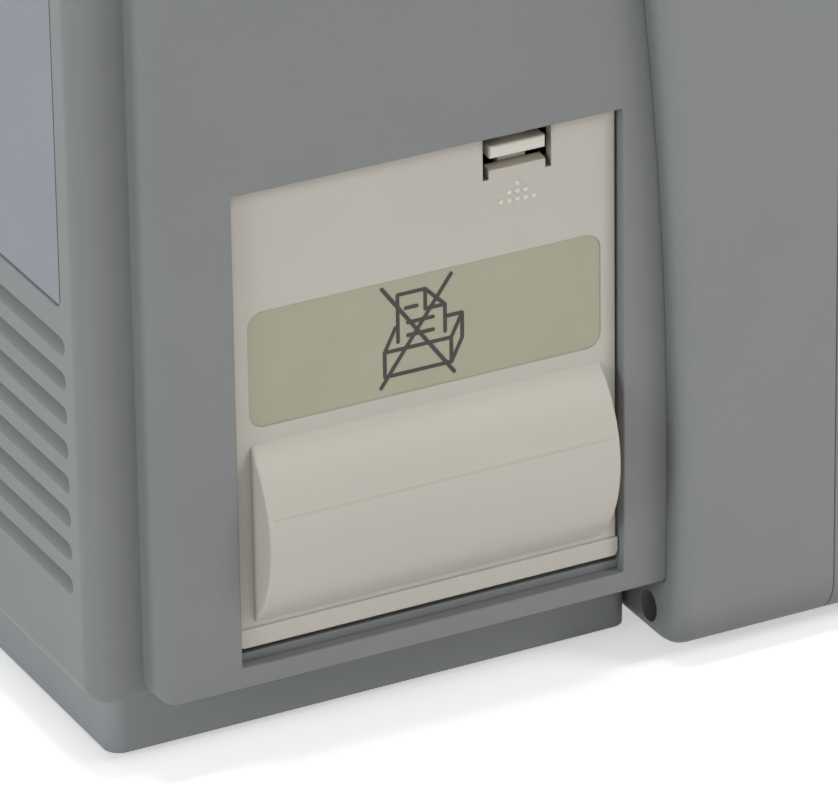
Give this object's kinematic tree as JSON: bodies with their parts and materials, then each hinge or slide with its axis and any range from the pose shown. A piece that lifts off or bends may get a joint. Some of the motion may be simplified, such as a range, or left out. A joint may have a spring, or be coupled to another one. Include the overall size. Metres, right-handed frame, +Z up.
{
  "type": "ecg machine",
  "caption": "Bedside ECG monitor in a stepped grey case, with a blank hinged recorder door on its side, a screen, keys, a turning knob and a top handle.",
  "frame": {"origin": "on the standing surface, under the middle of the case", "axes": "+Z up, the screen faces -Y, the recorder door faces -X, the patient sockets face +X"},
  "size_m": [0.2936, 0.179, 0.2633],
  "materials": {
    "case_plastic": "fine moulded texture",
    "front_plastic": "fine moulded texture",
    "plinth_plastic": "fine moulded texture",
    "door_plastic": "smooth satin",
    "latch_plastic": "smooth satin",
    "door_label_film": "satin film",
    "rear_label_film": "satin film",
    "dark_plastic": "fine moulded texture",
    "key_plastic": "silicone feel",
    "panel_plastic": "fine moulded texture",
    "white_plastic": "satin",
    "foot_rubber": "matte",
    "screen_glass": "clear",
    "screen_panel": "gloss",
    "light_lens": "translucent",
    "sheet_steel": "zinc plated",
    "bright_steel": "plated",
    "contact_brass": "plated",
    "board_green": "solder mask",
    "battery_wrap": "satin film"
  },
  "bodies": {
    "case": {"rear_housing": "case_plastic", "front_housing": "front_plastic", "front_bezel": "front_plastic", "base_pan": "plinth_plastic", "rubber_feet": "foot_rubber", "mount_inserts": "contact_brass", "housing_screws": "bright_steel", "handle": "case_plastic", "handle_screws": "bright_steel", "rear_label": "rear_label_film", "recorder_bay": "case_plastic", "option_socket": "dark_plastic", "hinge_pin": "bright_steel", "display_window": "screen_glass", "lcd_module": "screen_panel", "lcd_bracket": "sheet_steel", "indicator_lights": "light_lens", "keypad_board": "board_green", "encoder": "dark_plastic", "chassis_posts": "bright_steel", "chassis": "sheet_steel", "board_standoffs": "bright_steel", "main_board": "board_green", "power_supply": "sheet_steel", "battery_pack": "battery_wrap", "battery_cover": "plinth_plastic", "nibp_pump": "dark_plastic", "pump_cradle": "foot_rubber", "speaker": "dark_plastic", "connector_panel": "panel_plastic", "ecg_socket": "white_plastic", "ecg_insert": "white_plastic", "spo2_socket": "white_plastic", "temperature_sockets": "white_plastic", "nibp_port": "bright_steel", "parameter_board": "board_green", "power_inlet": "dark_plastic", "inlet_blades": "contact_brass", "fuse_drawer": "dark_plastic", "ground_stud": "bright_steel", "network_port": "bright_steel"},
    "door": {"recorder_door": "door_plastic", "door_label": "door_label_film"},
    "latch": {"release_latch": "latch_plastic"},
    "power_key": {"power_key": "key_plastic"},
    "encoder_shaft": {"encoder_shaft": "bright_steel"},
    "knob": {"rotary_knob": "panel_plastic"},
    "key_1": {"function_key_1": "key_plastic"},
    "key_2": {"function_key_2": "key_plastic"},
    "key_3": {"function_key_3": "key_plastic"},
    "key_4": {"function_key_4": "key_plastic"},
    "key_5": {"function_key_5": "key_plastic"}
  },
  "joints": [
    {"name": "door_hinge", "type": "hinge", "parent": "case", "child": "door", "pos_m": [-0.137, -0.0142, 0.025], "axis": [0, -1, 0], "range_deg": [0, 80]},
    {"name": "latch_slide", "type": "slide", "parent": "door", "child": "latch", "axis": [0, 0, -1], "range_m": [0, 0.0016], "stiffness_N_per_m": 300, "springref_m": -0.002},
    {"name": "key_1_press", "type": "slide", "parent": "case", "child": "key_1", "axis": [0, 1, 0], "range_m": [0, 0.0008], "stiffness_N_per_m": 800, "springref_m": -0.0005},
    {"name": "key_2_press", "type": "slide", "parent": "case", "child": "key_2", "axis": [0, 1, 0], "range_m": [0, 0.0008], "stiffness_N_per_m": 800, "springref_m": -0.0005},
    {"name": "key_3_press", "type": "slide", "parent": "case", "child": "key_3", "axis": [0, 1, 0], "range_m": [0, 0.0008], "stiffness_N_per_m": 800, "springref_m": -0.0005},
    {"name": "key_4_press", "type": "slide", "parent": "case", "child": "key_4", "axis": [0, 1, 0], "range_m": [0, 0.0008], "stiffness_N_per_m": 800, "springref_m": -0.0005},
    {"name": "key_5_press", "type": "slide", "parent": "case", "child": "key_5", "axis": [0, 1, 0], "range_m": [0, 0.0008], "stiffness_N_per_m": 800, "springref_m": -0.0005},
    {"name": "power_key_press", "type": "slide", "parent": "case", "child": "power_key", "axis": [0, 1, 0], "range_m": [0, 0.0008], "stiffness_N_per_m": 800, "springref_m": -0.0005},
    {"name": "knob_press", "type": "slide", "parent": "case", "child": "encoder_shaft", "axis": [0, 1, 0], "range_m": [0, 0.0006], "stiffness_N_per_m": 900, "springref_m": -0.0005},
    {"name": "knob_turn", "type": "hinge", "parent": "encoder_shaft", "child": "knob", "pos_m": [0.1208, -0.0756, 0.077], "axis": [0, 1, 0], "continuous": true}
  ]
}
